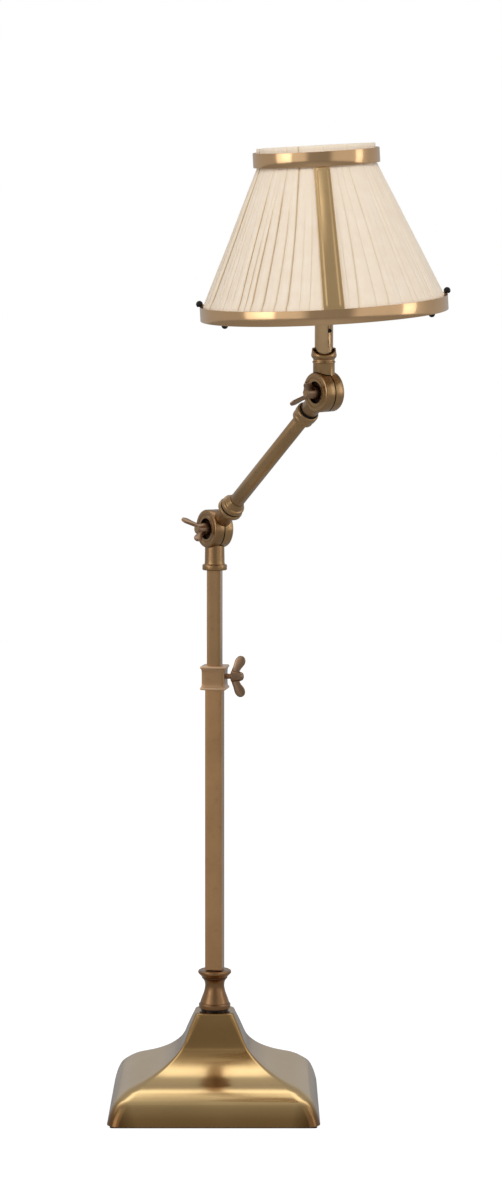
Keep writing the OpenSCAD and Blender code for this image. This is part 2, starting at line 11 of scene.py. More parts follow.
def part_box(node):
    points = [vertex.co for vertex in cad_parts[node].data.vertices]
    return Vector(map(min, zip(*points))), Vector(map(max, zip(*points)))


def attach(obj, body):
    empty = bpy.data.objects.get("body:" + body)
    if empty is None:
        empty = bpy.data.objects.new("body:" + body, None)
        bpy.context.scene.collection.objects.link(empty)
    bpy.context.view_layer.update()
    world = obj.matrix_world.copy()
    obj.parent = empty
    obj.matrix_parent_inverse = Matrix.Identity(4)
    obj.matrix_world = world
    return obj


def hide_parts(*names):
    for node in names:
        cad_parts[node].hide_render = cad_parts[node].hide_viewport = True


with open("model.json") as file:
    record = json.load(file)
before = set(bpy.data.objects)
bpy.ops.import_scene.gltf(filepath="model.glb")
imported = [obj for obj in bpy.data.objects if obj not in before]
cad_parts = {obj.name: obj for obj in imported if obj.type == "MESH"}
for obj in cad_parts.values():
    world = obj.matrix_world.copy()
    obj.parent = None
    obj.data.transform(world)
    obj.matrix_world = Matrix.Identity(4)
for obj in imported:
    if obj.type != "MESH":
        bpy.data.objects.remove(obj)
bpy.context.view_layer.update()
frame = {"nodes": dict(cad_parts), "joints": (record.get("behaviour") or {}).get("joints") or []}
MM = 0.001
SAME_POINT = 1e-7  # metres
random.seed(7)
nodes = frame["nodes"]
joints = {j["name"]: j for j in frame["joints"]}
scene = bpy.context.scene

# ---------------------------------------------------------------- places read from the frame


def middle(node):
    """The middle of a CAD node's box."""
    low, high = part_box(node)
    return (low + high) / 2


def frame_at(origin, z, y):
    """A frame at origin with its Z along z and its Y as near y as it can be."""
    z = Vector(z).normalized()
    y = Vector(y)
    y = (y - z * y.dot(z)).normalized()
    turn = Matrix((y.cross(z), y, z)).transposed()
    return Matrix.Translation(Vector(origin)) @ turn.to_4x4()


UP = Vector((0, 0, 1))
KNUCKLE = Vector(joints["arm_tilt"]["pos_m"])
WRIST = Vector(joints["head_tilt"]["pos_m"])
post_x = Vector(joints["clamp_screw_turn"]["axis"])
POST = frame_at((0, 0, 0), UP, UP.cross(post_x))
band_low = middle("bottom_band")
band_high = middle("top_band")
shade_z = (band_high - band_low).normalized()
shade_x = middle("strap_front") - band_low
shade_x = (shade_x - shade_z * shade_x.dot(shade_z)).normalized()
SHADE = frame_at(band_low, shade_z, shade_z.cross(shade_x))
RISE = (band_high - band_low).length

# the shade's bands, in mm
BAND_TALL = 18
BAND_THICK = 1.5
LOW_BAND_R = 152
HIGH_BAND_R = 77.5

# ---------------------------------------------------------------- camera

EYE = Vector((0.047, -3.967, 0.989))
SENSOR_MM = 36
LENS_MM = 91.94
FRAMING_SHIFT = -0.218
camera_data = bpy.data.cameras.new("camera")
camera_data.sensor_width = SENSOR_MM
camera_data.lens = LENS_MM
camera_data.shift_y = FRAMING_SHIFT
camera = bpy.data.objects.new("camera", camera_data)
camera.matrix_world = Matrix.Translation(EYE) @ Matrix.Rotation(math.pi / 2, 4, "X")
scene.collection.objects.link(camera)
scene.camera = camera

# ---------------------------------------------------------------- outlines


def rounded(points, closed=True, steps=5):
    """An outline with each corner (x, y, radius) turned into an arc."""
    nearly_straight = math.radians(88)
    most_of_side = 0.49
    out = []
    count = len(points)
    for i, point in enumerate(points):
        here = Vector(point[:2])
        radius = point[2] if len(point) > 2 else 0
        if radius == 0 or (not closed and i in (0, count - 1)):
            out.append(here)
            continue
        before = Vector(points[i - 1][:2]) - here
        after = Vector(points[(i + 1) % count][:2]) - here
        a, b = before.normalized(), after.normalized()
        half = a.angle(b) / 2
        if half > nearly_straight:
            out.append(here)
            continue
        room = min(before.length * most_of_side, after.length * most_of_side)
        cut = min(radius / math.tan(half), room)
        radius = cut * math.tan(half)
        centre = here + (a + b).normalized() * (radius / math.sin(half))
        start, end = here + a * cut - centre, here + b * cut - centre
        sweep = start.angle_signed(end)
        for k in range(steps + 1):
            out.append(centre + Matrix.Rotation(-sweep * k / steps, 2) @ start)
    return [(p.x, p.y) for p in out]


def spline(points, steps=8):
    """A smooth curve through the points (Catmull-Rom)."""
    pts = [Vector(p) for p in points]
    pts = [pts[0] * 2 - pts[1]] + pts + [pts[-1] * 2 - pts[-2]]
    out = []
    for i in range(1, len(pts) - 2):
        p0, p1, p2, p3 = pts[i - 1 : i + 3]
        for k in range(steps):
            t = k / steps
            square = (2 * p0 - 5 * p1 + 4 * p2 - p3) * t * t
            cube = (3 * p1 - p0 - 3 * p2 + p3) * t**3
            out.append(0.5 * (2 * p1 + (p2 - p0) * t + square + cube))
    out.append(pts[-2])
    return [tuple(p) for p in out]


# ---------------------------------------------------------------- mesh builders


def add_object(name, data):
    obj = bpy.data.objects.new(name, data)
    scene.collection.objects.link(obj)
    return obj


def add_mesh(name, verts, faces, place=None, sharp=35):
    """A closed smooth mesh in the frame place, with its edges over sharp degrees kept crisp."""
    mesh = bpy.data.meshes.new(name)
    mesh.from_pydata(verts, [], faces)
    mesh.update()
    work = bmesh.new()
    work.from_mesh(mesh)
    bmesh.ops.remove_doubles(work, verts=work.verts, dist=SAME_POINT)
    bmesh.ops.recalc_face_normals(work, faces=work.faces)
    work.to_mesh(mesh)
    work.free()
    if place is not None:
        mesh.transform(place)
    mesh.shade_smooth()
    mesh.set_sharp_from_angle(angle=math.radians(sharp))
    return add_object(name, mesh)


def lathe(name, outline, place, steps=96):
    """Turns a closed outline of (radius, height) in mm about Z."""
    outline = [(max(r, 0.0), z) for r, z in outline]
    verts = []
    for k in range(steps):
        a = 2 * math.pi * k / steps
        verts += [(r * MM * math.cos(a), r * MM * math.sin(a), z * MM) for r, z in outline]
    n = len(outline)
    faces = []
    for k in range(steps):
        nxt = (k + 1) % steps
        for i in range(n):
            j = (i + 1) % n
            if outline[i][0] == 0 and outline[j][0] == 0:
                continue
            faces.append((k * n + i, nxt * n + i, nxt * n + j, k * n + j))
    return add_mesh(name, verts, faces, place)


def loft(name, loops, place=None, caps=True, sharp=35):
    """Joins loops of points, each (x, y, z) in mm, into a skin, with flat ends."""
    n = len(loops[0])
    verts = [tuple(c * MM for c in p) for loop in loops for p in loop]
    faces = []
    for k in range(len(loops) - 1):
        for i in range(n):
            j = (i + 1) % n
            faces.append((k * n + i, k * n + j, (k + 1) * n + j, (k + 1) * n + i))
    if caps:
        faces.append(tuple(range(n)))
        faces.append(tuple((len(loops) - 1) * n + i for i in range(n)))
    return add_mesh(name, verts, faces, place, sharp)


def square_loop(half, radius, z, corner_steps=5, side_steps=6):
    """A square of side 2 * half with round corners, at height z."""
    points = []
    radius = min(radius, half * 0.98)
    for quarter in range(4):
        a0 = quarter * math.pi / 2
        cx = (half - radius) * (1 if quarter in (0, 3) else -1)
        cy = (half - radius) * (1 if quarter in (0, 1) else -1)
        for k in range(corner_steps + 1):
            a = a0 + math.pi / 2 * k / corner_steps
            points.append((cx + radius * math.cos(a), cy + radius * math.sin(a), z))
    # extra points along the sides keep the faces near square
    full = []
    for i, p in enumerate(points):
        q = points[(i + 1) % len(points)]
        full.append(p)
        if (i + 1) % (corner_steps + 1) == 0:
            for k in range(1, side_steps):
                t = k / side_steps
                full.append(tuple(p[c] + (q[c] - p[c]) * t for c in range(3)))
    return full


def fuse(name, pieces, voxel, smooth):
    """Runs the pieces together into one soft casting: a remesh of voxel mm, then some smoothing."""
    joined = bmesh.new()
    for piece in pieces:
        joined.from_mesh(piece.data)
        bpy.data.objects.remove(piece)
    mesh = bpy.data.meshes.new(name)
    joined.to_mesh(mesh)
    joined.free()
    obj = add_object(name, mesh)
    remesh = obj.modifiers.new("remesh", "REMESH")
    remesh.mode = "VOXEL"
    remesh.voxel_size = voxel * MM
    soften = obj.modifiers.new("soften", "SMOOTH")
    soften.factor = 0.5
    soften.iterations = smooth
    apply_modifiers(obj)
    obj.data.shade_smooth()
    return obj


def soft_edges(obj):
    """Breaks the sharp edges of a CAD node by modifiers, and leaves its own mesh alone."""
    weld = obj.modifiers.new("weld", "WELD")
    weld.merge_threshold = 1e-6
    bevel = obj.modifiers.new("edges", "BEVEL")
    bevel.width = 0.35 * MM
    bevel.segments = 2
    bevel.limit_method = "ANGLE"
    bevel.angle_limit = math.radians(35)
    bevel.use_clamp_overlap = True
    bevel.harden_normals = False


def apply_modifiers(obj):
    """Turns what the modifiers show into the object's own mesh."""
    shown = obj.evaluated_get(bpy.context.evaluated_depsgraph_get())
    mesh = bpy.data.meshes.new_from_object(shown)
    obj.modifiers.clear()
    obj.data = mesh


def settle(obj, body, slot, material, *replaced):
    """Gives a finished piece its material and body, and hides the CAD nodes it stands in for; its
    record slot is not used.
    """
    obj.data.materials.clear()
    obj.data.materials.append(material)
    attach(obj, body)
    if replaced:
        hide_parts(*replaced)
    return obj


# ---------------------------------------------------------------- materials


def srgb(r, g, b):
    """An sRGB colour of 0 to 255 as Blender's linear RGBA."""
    def linear(c):
        c /= 255
        return c / 12.92 if c <= 0.04045 else ((c + 0.055) / 1.055) ** 2.4
    return (linear(r), linear(g), linear(b), 1)


def scaled_colour(colour, factor, lift=0.0):
    return tuple(min(1, c * factor + lift) for c in colour[:3]) + (1,)


WHITE = (1, 1, 1, 1)


class Nodes:
    """Short calls for building one material's node tree."""

    def __init__(self, name):
        self.material = bpy.data.materials.new(name)
        self.material.use_nodes = True
        self.tree = self.material.node_tree
        self.shader = self.tree.nodes["Principled BSDF"]
        coords = self.tree.nodes.new("ShaderNodeTexCoord")
        self.place = coords.outputs["Object"]

    @classmethod
    def on(cls, tree):
        """The same calls on a world's node tree."""
        self = cls.__new__(cls)
        self.tree = tree
        self.direction = tree.nodes.new("ShaderNodeTexCoord").outputs["Generated"]
        return self

    def math(self, operation, a, b):
        node = self.add("ShaderNodeMath", operation=operation)
        for value, socket in zip((a, b), node.inputs):
            if isinstance(value, float):
                socket.default_value = value
            else:
                self.link(value, socket)
        return node.outputs[0]

    def add(self, kind, **values):
        """A new node, with its own settings or its inputs' values set by name."""
        node = self.tree.nodes.new(kind)
        for key, value in values.items():
            if hasattr(node, key):
                setattr(node, key, value)
            else:
                node.inputs[key.replace("_", " ")].default_value = value
        return node

    def link(self, a, b):
        self.tree.links.new(a, b)

    def scaled(self, x, y, z):
        mapping = self.add("ShaderNodeMapping")
        mapping.inputs["Scale"].default_value = (x, y, z)
        self.link(self.place, mapping.inputs["Vector"])
        return mapping.outputs["Vector"]

    def noise(self, vector, scale, detail=4, roughness=0.5, distortion=0.0):
        node = self.add("ShaderNodeTexNoise")
        node.inputs["Scale"].default_value = scale
        node.inputs["Detail"].default_value = detail
        node.inputs["Roughness"].default_value = roughness
        node.inputs["Distortion"].default_value = distortion
        self.link(vector, node.inputs["Vector"])
        return node.outputs["Fac"]

    def ramp(self, value, *stops):
        """A colour for each value from 0 to 1, by stops of (value, colour)."""
        node = self.add("ShaderNodeValToRGB")
        ramp = node.color_ramp
        while len(ramp.elements) < len(stops):
            ramp.elements.new(0.5)
        for element, (at, colour) in zip(ramp.elements, stops):
            element.position = at
            element.color = colour
        self.link(value, node.inputs["Fac"])
        return node.outputs["Color"]

    def span(self, value, low, high, to_low, to_high):
        node = self.add("ShaderNodeMapRange")
        node.inputs["From Min"].default_value = low
        node.inputs["From Max"].default_value = high
        node.inputs["To Min"].default_value = to_low
        node.inputs["To Max"].default_value = to_high
        self.link(value, node.inputs["Value"])
        return node.outputs["Result"]

    def mix(self, factor, a, b, blend="MIX"):
        node = self.add("ShaderNodeMix", data_type="RGBA", blend_type=blend)
        for value, key in ((factor, 0), (a, 6), (b, 7)):
            if isinstance(value, (int, float, tuple)):
                node.inputs[key].default_value = value
            else:
                self.link(value, node.inputs[key])
        return node.outputs[2]

    def bump(self, height, strength, distance, after=None):
        node = self.add("ShaderNodeBump")
        node.inputs["Strength"].default_value = strength
        node.inputs["Distance"].default_value = distance
        self.link(height, node.inputs["Height"])
        if after is not None:
            self.link(after, node.inputs["Normal"])
        return node.outputs["Normal"]

    def set(self, **values):
        """Sets the shader's sockets, and gives the finished material."""
        for key, value in values.items():
            socket = self.shader.inputs[key.replace("_", " ")]
            if isinstance(value, (int, float, tuple)):
                socket.default_value = value
            else:
                self.link(value, socket)
        return self.material


def brass(name, colour, rough, drawn=False, mottle=0.12, painted_shade_heights=(), hollow=None, lacquer=0.6,
          corners=None):
    """Lacquered antique brass: a faint mottle, a fine grain (along Z on drawn metal) and painted
    shade.

    The painted shade darkens some heights (pairs of height in metres and how much light is left),
    a round hollow (its frame and radius) or a square part's corners (where x times y runs from
    one value to the other)."""
    grain_bump, grain_depth = 0.035, 0.0002
    rough_swing = 0.03
    lacquer_rough = 0.16
    n = Nodes(name)
    cloud = n.noise(n.place, 14, 3, 0.5, 0.3)
    spots = n.noise(n.place, 130, 4, 0.6)
    light = scaled_colour(colour, 1 + mottle)
    dark = tuple(c * (1 - mottle * k) for c, k in zip(colour, (1, 1.15, 1.4))) + (1,)
    tint = n.ramp(cloud, (0.32, dark), (0.68, light))
    spotted = n.ramp(spots, (0.3, (0.8, 0.76, 0.7, 1)), (0.42, WHITE))
    tint = n.mix(min(1, mottle * 4), tint, spotted, "MULTIPLY")
    if painted_shade_heights or corners:
        split = n.add("ShaderNodeSeparateXYZ")
        n.link(n.place, split.inputs[0])
    if painted_shade_heights:
        top = painted_shade_heights[-1][0]
        height = n.span(split.outputs["Z"], 0, top, 0, 1)
        # painted shade at these heights goes brown: green is lost faster than red, and blue faster
        # still
        height_shade = n.ramp(height, *[(z / top, (v, v**1.3, v**1.8, 1)) for z, v in painted_shade_heights])
        tint = n.mix(1.0, tint, height_shade, "MULTIPLY")
    if corners:
        # painted shade: the corners, where x times y is largest, are darkened
        far = n.math("ABSOLUTE", n.math("MULTIPLY", split.outputs["X"], split.outputs["Y"]), 0.0)
        corner_shade = n.ramp(n.span(far, *corners, 0, 1), (0, WHITE), (1, (0.5, 0.4, 0.3, 1)))
        tint = n.mix(1.0, tint, corner_shade, "MULTIPLY")
    if hollow:
        frame_of, radius = hollow
        into = n.add("ShaderNodeMapping")
        back = frame_of.inverted()
        into.inputs["Location"].default_value = back.translation
        into.inputs["Rotation"].default_value = back.to_euler()
        n.link(n.place, into.inputs["Vector"])
        flat = n.add("ShaderNodeVectorMath", operation="MULTIPLY")
        flat.inputs[1].default_value = (1, 1, 0)
        n.link(into.outputs["Vector"], flat.inputs[0])
        reach = n.add("ShaderNodeVectorMath", operation="LENGTH")
        n.link(flat.outputs["Vector"], reach.inputs[0])
        # painted shade: inside the radius the recess is darkened nearly to black
        inside = n.span(reach.outputs["Value"], radius, radius + 0.0004, 0, 1)
        recess_shade = n.ramp(inside, (0, (0.16, 0.1, 0.06, 1)), (1, WHITE))
        tint = n.mix(1.0, tint, recess_shade, "MULTIPLY")
    if drawn:
        grain = n.noise(n.scaled(1800, 1800, 60), 1, 3, 0.6)
    else:
        grain = n.noise(n.place, 900, 2, 0.6)
    return n.set(
        Base_Color=tint,
        Metallic=1.0,
        Roughness=n.span(cloud, 0.3, 0.7, rough + rough_swing, rough - rough_swing),
        Normal=n.bump(grain, grain_bump, grain_depth),
        Coat_Weight=lacquer,
        Coat_Roughness=lacquer_rough,
    )


def dark_metal(name, colour, rough):
    """Blackened metal, worn a little lighter in small spots."""
    n = Nodes(name)
    wear = n.noise(n.place, 240, 4, 0.6)
    tint = n.ramp(wear, (0.4, colour), (0.75, scaled_colour(colour, 2.4, 0.01)))
    normal = n.bump(n.noise(n.place, 900, 2), 0.2, 0.0002)
    return n.set(
        Base_Color=tint,
        Metallic=0.4,
        Roughness=n.span(wear, 0.3, 0.7, rough + 0.1, rough - 0.1),
        Normal=normal,
    )


def rubber(name, colour):
    """Matt black rubber or plastic with a little dust."""
    n = Nodes(name)
    dust = n.noise(n.place, 350, 4, 0.6)
    tint = n.ramp(dust, (0.45, colour), (0.8, scaled_colour(colour, 1.8, 0.012)))
    return n.set(
        Base_Color=tint,
        Roughness=n.span(dust, 0.3, 0.7, 0.75, 0.6),
        Normal=n.bump(dust, 0.25, 0.0003),
        Specular_IOR_Level=0.3,
    )


def steel(name, colour):
    """Plated steel with a cloudy finish."""
    n = Nodes(name)
    cloud = n.noise(n.place, 90, 4, 0.6)
    tint = n.ramp(cloud, (0.35, scaled_colour(colour, 0.7)), (0.65, colour))
    return n.set(
        Base_Color=tint,
        Metallic=1.0,
        Roughness=n.span(cloud, 0.3, 0.7, 0.42, 0.28),
        Normal=n.bump(n.noise(n.place, 1500, 2), 0.12, 0.0002),
    )


def iron(name):
    """Raw sand-cast iron with a bloom of rust."""
    n = Nodes(name)
    sand = n.noise(n.place, 500, 4, 0.65)
    rust = n.noise(n.place, 40, 5, 0.6)
    tint = n.ramp(rust, (0.45, srgb(52, 50, 48)), (0.75, srgb(88, 62, 46)))
    return n.set(
        Base_Color=tint,
        Metallic=0.6,
        Roughness=n.span(sand, 0.3, 0.7, 0.8, 0.6),
        Normal=n.bump(sand, 0.5, 0.0006),
    )


def felt(name):
    """Black felt with loose fibres."""
    n = Nodes(name)
    fibres = n.noise(n.place, 1600, 5, 0.7, 0.4)
    tint = n.ramp(fibres, (0.35, srgb(22, 21, 20)), (0.7, srgb(52, 50, 48)))
    return n.set(
        Base_Color=tint,
        Roughness=0.95,
        Normal=n.bump(fibres, 0.6, 0.0005),
        Sheen_Weight=0.4,
        Sheen_Roughness=0.5,
    )


def shade_cloth(name, tint):
    """Cream cotton voile: woven, with slubs, and painted shade along its creases."""
    threads_per_metre = 900
    painted_crease_shade = (0.62, 0.54, 0.4, 1)
    n = Nodes(name)
    turns = n.add("ShaderNodeUVMap")
    cloth = n.add("ShaderNodeMapping")
    cloth.inputs["Scale"].default_value = (threads_per_metre, threads_per_metre, 1)
    n.link(turns.outputs["UV"], cloth.inputs["Vector"])
    threads = []
    for direction in ("X", "Y"):
        wave = n.add("ShaderNodeTexWave", wave_type="BANDS", bands_direction=direction)
        wave.inputs["Scale"].default_value = 0.5
        wave.inputs["Distortion"].default_value = 0.8
        n.link(cloth.outputs["Vector"], wave.inputs["Vector"])
        threads.append(wave.outputs["Color"])
    weave = n.mix(0.5, *threads)
    slub = n.noise(n.scaled(40, 40, 420), 1, 4, 0.6)
    tone = n.noise(n.place, 55, 4, 0.6)
    lighter = scaled_colour(tint, 1.01)
    darker = tuple(c * k for c, k in zip(tint, (0.985, 0.965, 0.94))) + (1,)
    colour = n.ramp(tone, (0.35, darker), (0.62, lighter))
    woven = n.ramp(weave, (0.1, (0.94, 0.93, 0.91, 1)), (0.6, WHITE))
    colour = n.mix(0.5, colour, woven, "MULTIPLY")
    # painted shade darkens the cloth along its creases
    crease_and_shade = n.add("ShaderNodeAttribute", attribute_name="crease_and_shade", attribute_type="GEOMETRY")
    crease_shading = n.ramp(crease_and_shade.outputs["Fac"], (0.05, WHITE), (1.0, painted_crease_shade))
    colour = n.mix(1.0, colour, crease_shading, "MULTIPLY")
    normal = n.bump(weave, 0.15, 0.0002)
    normal = n.bump(slub, 0.12, 0.0003, normal)
    return n.set(
        Base_Color=colour,
        Roughness=0.88,
        Normal=normal,
        Sheen_Weight=0.2,
        Sheen_Roughness=0.4,
        Subsurface_Weight=0.1,
        Subsurface_Radius=(0.01, 0.008, 0.006),
        Subsurface_Scale=0.4,
        Specular_IOR_Level=0.25,
    )


def frosted_glass(name):
    """A frosted white bulb."""
    n = Nodes(name)
    haze = n.noise(n.place, 60, 3, 0.5)
    return n.set(
        Base_Color=n.ramp(haze, (0.3, srgb(236, 234, 228)), (0.7, srgb(250, 249, 244))),
        Roughness=n.span(haze, 0.3, 0.7, 0.32, 0.24),
        Subsurface_Weight=0.3,
        Subsurface_Radius=(0.02, 0.02, 0.02),
        Subsurface_Scale=0.5,
        Coat_Weight=0.4,
        Coat_Roughness=0.1,
    )


BRASS_POST = brass("brass_post", srgb(206, 160, 110), 0.3, drawn=True)
BRASS_MAST = brass("brass_mast", srgb(182, 142, 98), 0.3, drawn=True)
BRASS_TUBE = brass("brass_tube", srgb(228, 190, 142), 0.3, drawn=True)
BRASS_CAST = brass("brass_cast", srgb(180, 144, 98), 0.34)
BRASS_TURNED = brass("brass_turned", srgb(138, 100, 64), 0.34)
BRASS_WING = brass("brass_wing", srgb(164, 132, 104), 0.3, mottle=0.16)
# painted shade: dark in the gap under the foot ring, in the step above it and in the groove under
# the lip
BRASS_COLLAR = brass("brass_collar", srgb(156, 116, 74), 0.34, mottle=0.1, painted_shade_heights=(
    (0.0, 0.04), (0.1225, 0.04), (0.1235, 0.9), (0.1275, 1.0), (0.1295, 0.6), (0.131, 0.95),
    (0.15, 0.9), (0.159, 0.8), (0.1605, 0.4), (0.1635, 0.4), (0.165, 0.95), (0.18, 1.0)))
# painted shade darkens the clamp's waist between its beads, so the beads stand out lighter
BRASS_CLAMP = brass("brass_clamp", srgb(248, 208, 168), 0.3, mottle=0.08, painted_shade_heights=(
    (0.0, 1.0), (0.537, 1.0), (0.5395, 0.68), (0.541, 0.6), (0.56, 0.6), (0.5615, 0.68),
    (0.5635, 1.0), (0.6, 1.0)))
# painted shade darkens the rim towards the floor and at the four corners; the foot is also darker
# towards the neck
BRASS_FOOT = brass(
    "brass_foot", srgb(226, 192, 134), 0.16, mottle=0.05, lacquer=0.5, corners=(0.0128, 0.0157),
    painted_shade_heights=((0, 0.46), (0.012, 0.56), (0.024, 0.82), (0.03, 1.0), (0.058, 1.0), (0.068, 0.7),
             (0.08, 0.55), (0.1, 0.54), (0.12, 0.6)))
BRASS_BAND = brass("brass_band", srgb(224, 184, 138), 0.13, mottle=0.05, lacquer=0.3)
BRASS_STRAP = brass("brass_strap", srgb(240, 202, 146), 0.26, True, mottle=0.05, lacquer=0.3)
RECESS_R = 0.0136
# painted shade darkens the floor of each knuckle's round recess
BRASS_LOWER_JAW = brass("brass_lower_jaw", srgb(166, 128, 84), 0.34, hollow=(
    frame_at(KNUCKLE, joints["arm_tilt"]["axis"], UP), RECESS_R))
BRASS_UPPER_JAW = brass("brass_upper_jaw", srgb(170, 134, 88), 0.34, hollow=(
    frame_at(WRIST, joints["head_tilt"]["axis"], UP), RECESS_R))
BLACK = dark_metal("black_metal", srgb(20, 18, 16), 0.4)
PLASTIC = rubber("black_plastic", srgb(16, 15, 14))
RUBBER = rubber("black_rubber", srgb(12, 11, 10))
STEEL = steel("steel", srgb(150, 148, 144))
IRON = iron("cast_iron")
FELT = felt("felt")
CLOTH = shade_cloth("shade_cloth", srgb(254, 237, 215))
GLASS = frosted_glass("frosted_glass")

# ---------------------------------------------------------------- foot, posts and wing parts


def foot():
    """The cast foot: a square ogee shell, open below."""
    drawn_width = 0.268
    low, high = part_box("base_shell")
    scale = (high.x - low.x) / drawn_width
    # half width, height and corner radius in mm: up the outside, over the top, down the inside
    outer = [
        (134, 2, 17), (133.3, 5, 17), (132, 10, 17), (130.3, 15.5, 17.5), (128.1, 21, 18),
        (125.4, 26.4, 18), (122.4, 30.3, 18), (118.4, 33.8, 18), (113.6, 37.3, 17),
        (108.4, 40.6, 15), (101.5, 43.8, 12), (92, 47.3, 8.5), (80.7, 51.9, 6.5), (71, 56.7, 5.5),
        (61.4, 62.3, 5), (52.2, 69.2, 5), (44.4, 77, 5), (40, 83.6, 5), (37.2, 90, 5.5),
        (33.8, 98.6, 6.5), (29.6, 108.4, 7.5), (26.8, 114.4, 8),
    ]
    inner = [
        (25.6, 117.4, 8), (25, 118.8, 8), (24, 119.7, 8), (22, 120, 8), (6, 120, 5.9),
        (6, 112, 5.9), (16, 111, 8), (30, 96, 5), (34.5, 84, 5), (40, 73, 5), (60, 58, 5),
        (80, 49, 6), (104, 38, 12), (118, 27, 15), (129, 2, 15),
    ]
    outline = spline(outer, 4) + inner
    loops = [square_loop(half * scale, corner, z, 9, 10) for half, z, corner in outline]
    loops.append(loops[0])
    piece = loft("foot_casting", loops, caps=False, sharp=50)
    return settle(piece, "foot", "brass", BRASS_FOOT, "base_shell")


def collar():
    """The turned collar between the foot and the post, hollow for the threaded rod."""
    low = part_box("base_collar")[0]
    foot_ring = rounded([
        (5, 0), (17.8, 0), (17.8, 2.6), (20.2, 3.2, 0.5), (20.5, 8.4, 1.6), (18.7, 9.7, 0.4),
        (18.6, 10.8)], closed=False)
    waist = spline([
        (18.6, 10.8), (17.7, 13.4), (16.2, 17.6), (14.2, 22.8), (12.9, 27.6), (12.4, 32),
        (12.8, 36.2), (14.2, 39.4), (15.4, 41.2)], 5)
    lip = rounded([
        (15.4, 41.2), (16.4, 41.6, 0.4), (16.5, 43.2, 0.3), (18.4, 45.4, 1), (21.4, 48.4, 1.2),
        (21.3, 51, 1.2), (19.4, 52, 0.8), (16.8, 51.6, 0.5), (15.8, 51.9), (8, 51.9), (8, 50),
        (5, 50)], closed=False)
    outline = foot_ring + waist[1:] + lip[1:]
    piece = lathe("collar_turning", outline, Matrix.Translation((0, 0, low.z)))
    return settle(piece, "foot", "brass", BRASS_COLLAR, "base_collar")


def square_post(name, node, body, side, wall, radius, material):
    """A drawn square tube, its cut ends broken by a file."""
    low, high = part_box(node)
    z0, z1 = low.z / MM, high.z / MM
    out, bore = side / 2, side / 2 - wall
    edge, burr, burr_deep, bore_radius = 0.4, 0.2, 0.3, 0.4
    outside = [(out - edge, z0), (out, z0 + edge), (out, (z0 + z1) / 2), (out, z1 - edge),
               (out - edge, z1)]
    inside = [(bore + burr, z1), (bore, z1 - burr_deep), (bore, z0 + burr_deep), (bore + burr, z0)]
    loops = [square_loop(half, radius, z, 5, 4) for half, z in outside]
    loops += [square_loop(half, bore_radius, z, 5, 4) for half, z in inside]
    loops.append(loops[0])
    piece = loft(name, loops, POST, caps=False)
    return settle(piece, body, "brass", material, node)


def clamp():
    """The cast clamp: a waisted square block with a round bead at each end, bored for the screw."""
    low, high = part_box("clamp_block")
    tall = (high.z - low.z) / MM
    wide = 16.8
    lower_bore, upper_bore, step_z = 11.05, 9.3, 12.5
    screw_bore_r = 3.55
    bead = [
        (wide - 1.7, 0), (wide - 0.7, 0.3), (wide, 1.2), (wide + 0.1, 2.1), (wide - 0.3, 3.1),
        (wide - 1.1, 3.9), (wide - 1.6, 5), (wide - 1.9, 7), (wide - 2, 10)]
    outer = spline(bead + [(half, tall - z) for half, z in reversed(bead)], 4)
    bore = [(upper_bore, tall), (upper_bore, step_z), (lower_bore, step_z), (lower_bore, 0)]
    loops = [square_loop(half, 1.6, z, 5, 6) for half, z in outer]
    loops += [square_loop(half, 1.3, z, 5, 6) for half, z in bore]
    loops.append(loops[0])
    block = loft("clamp_casting", loops, Matrix.Translation((0, 0, low.z)) @ POST, caps=False)
    screw = Matrix.Translation((0, 0, joints["clamp_screw_turn"]["pos_m"][2])) @ POST
    drill = lathe(
        "drill", [(0, 5), (screw_bore_r, 5), (screw_bore_r, 30), (0, 30)],
        screw @ Matrix.Rotation(math.pi / 2, 4, "Y"))
    cut = block.modifiers.new("bore", "BOOLEAN")
    cut.object = drill
    apply_modifiers(block)
    bpy.data.objects.remove(drill)
    return settle(block, "foot", "brass", BRASS_CLAMP, "clamp_block")


def wing_frame(node, joint):
    """The frame of a wing part: Z out along its screw from its inner end, X towards an ear."""
    centre = Vector(joints[joint]["pos_m"])
    axis = Vector(joints[joint]["axis"]).normalized()
    points = [nodes[node].matrix_world @ v.co - centre for v in nodes[node].data.vertices]
    if sum(p.dot(axis) for p in points) < 0:
        axis = -axis
    ear_tip = max(points, key=lambda p: (p - axis * p.dot(axis)).length)
    start = min(p.dot(axis) for p in points)
    return frame_at(centre + axis * start, axis, axis.cross(ear_tip))


def ear(path, thick):
    """One ear in the XZ plane: (x, z, half width) along its middle, thickest near the hub."""
    steps, thinning, squareness = 20, 0.25, 0.7
    rows = spline(path, 4)
    last = len(rows) - 1
    loops = []
    for i, (x, z, half) in enumerate(rows):
        way = (Vector(rows[min(last, i + 1)][:2]) - Vector(rows[max(0, i - 1)][:2])).normalized()
        deep = thick * min(1, 0.35 + half / 5) * (1 - thinning * i / len(rows))
        loop = []
        for k in range(steps):
            a = 2 * math.pi * k / steps
            across = half * math.cos(a)
            out = deep * math.copysign(abs(math.sin(a)) ** squareness, math.sin(a))
            loop.append((x - way.y * across, out, z + way.x * across))
        loops.append(loop)
    return loft("ear", loops)


def wing_part(name, node, joint, body, outline, path, thick):
    """A wing nut or wing screw: a turned hub and two ears, cast in one."""
    pieces = [lathe("hub", outline, Matrix.Identity(4), 48), ear(path, thick), ear(path, thick)]
    pieces[2].data.transform(Matrix.Rotation(math.pi, 4, "Z"))
    piece = fuse(name, pieces, 0.32, 5)
    piece.data.transform(wing_frame(node, joint))
    return settle(piece, body, "brass", BRASS_WING, node)


